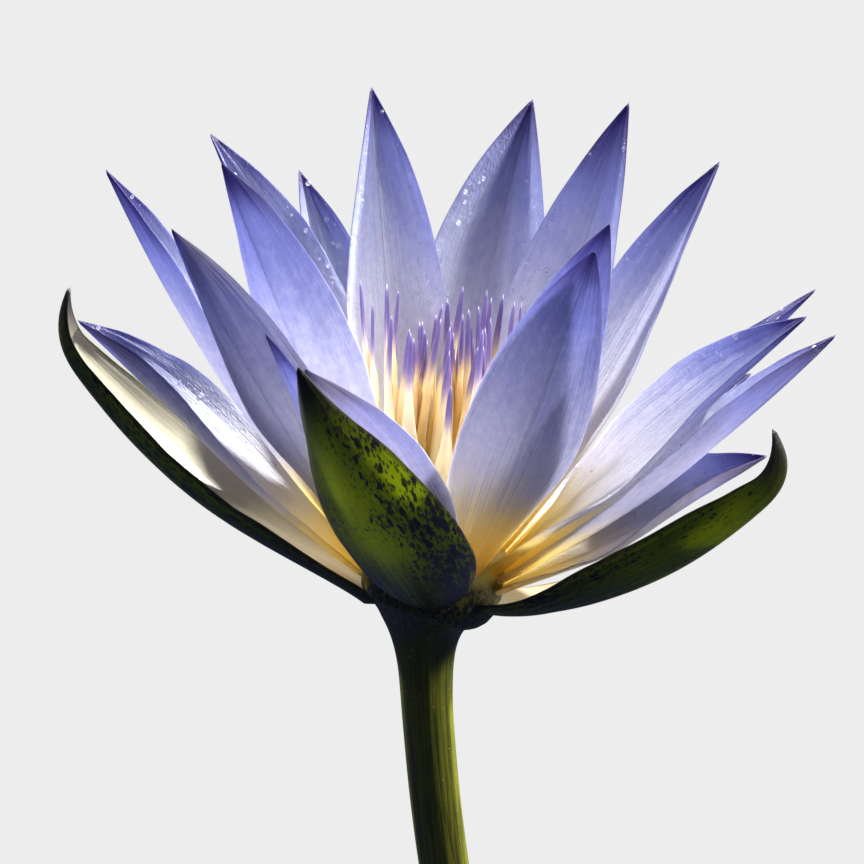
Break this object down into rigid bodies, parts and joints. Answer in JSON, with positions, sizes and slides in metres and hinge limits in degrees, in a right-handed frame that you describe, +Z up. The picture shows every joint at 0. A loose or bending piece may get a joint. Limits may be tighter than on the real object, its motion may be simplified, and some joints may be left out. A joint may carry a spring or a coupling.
{
  "type": "lotus flower",
  "caption": "Blue lotus flower (a water lily) cut with its stem and laid on its back: pointed petals in whorls, green spotted sepals, a tuft of stamens.",
  "frame": {"origin": "middle of the laid flower's outline seen from above, on the surface that it rests on", "axes": "+Z up from the surface; +Y from the stem's cut end towards the head, along the longest extent; +X to the right seen from above with the head away from the viewer"},
  "size_m": [0.1176, 0.189, 0.123],
  "materials": {
    "petal": "thin translucent petal, blue violet at the tip fading to cream and yellow at the root, fine parallel veins",
    "sepal": "fleshy sepal, olive green outside with purple-black streaks and flecks, cream white inside",
    "stem": "smooth fleshy stem, olive green with fine pale specks",
    "stamen": "soft, cream to yellow with orange-brown anthers and violet tips",
    "stigma": "soft, moist, yellow"
  },
  "bodies": {
    "root": {"stem": "stem", "sepal_left": "sepal", "sepal_front": "sepal", "sepal_right": "sepal", "sepal_back": "sepal", "petal_01": "petal", "petal_02": "petal", "petal_03": "petal", "petal_04": "petal", "petal_05": "petal", "petal_06": "petal", "petal_07": "petal", "petal_08": "petal", "petal_09": "petal", "petal_10": "petal", "petal_11": "petal", "petal_12": "petal", "petal_13": "petal", "petal_14": "petal", "petal_15": "petal", "petal_16": "petal", "petal_17": "petal", "petal_18": "petal", "petal_19": "petal", "petal_20": "petal", "petal_21": "petal", "stamens_outer": "stamen", "stamens_inner": "stamen", "stigma": "stigma"}
  },
  "joints": []
}
